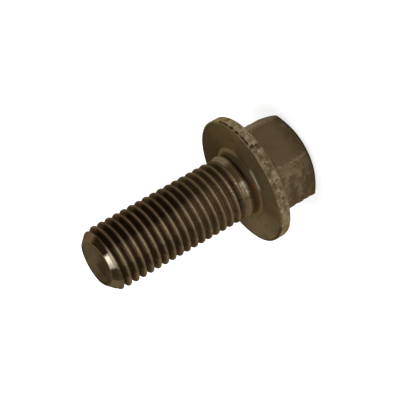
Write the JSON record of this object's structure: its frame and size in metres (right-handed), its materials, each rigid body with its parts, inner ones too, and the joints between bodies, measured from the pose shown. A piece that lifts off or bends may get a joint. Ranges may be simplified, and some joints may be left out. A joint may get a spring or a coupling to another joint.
{
  "type": "flange bolt",
  "caption": "Hexagon-head flange bolt with a machine thread along its shank, a short plain neck and a relief under the flange.",
  "frame": {"origin": "centre of the bearing face, the plane of the flange that seats on the joint", "axes": "+Z along the shank from the bearing face to the point, with the head below the origin; two flats of the hexagon face +Y and -Y; the bolt stands on the flat top of its head"},
  "size_m": [0.0197, 0.0196, 0.0341],
  "materials": {
    "dark_steel": "dark brown oiled oxide, satin, worn at the edges"
  },
  "bodies": {
    "root": {"flange_bolt": "dark_steel"}
  },
  "joints": []
}
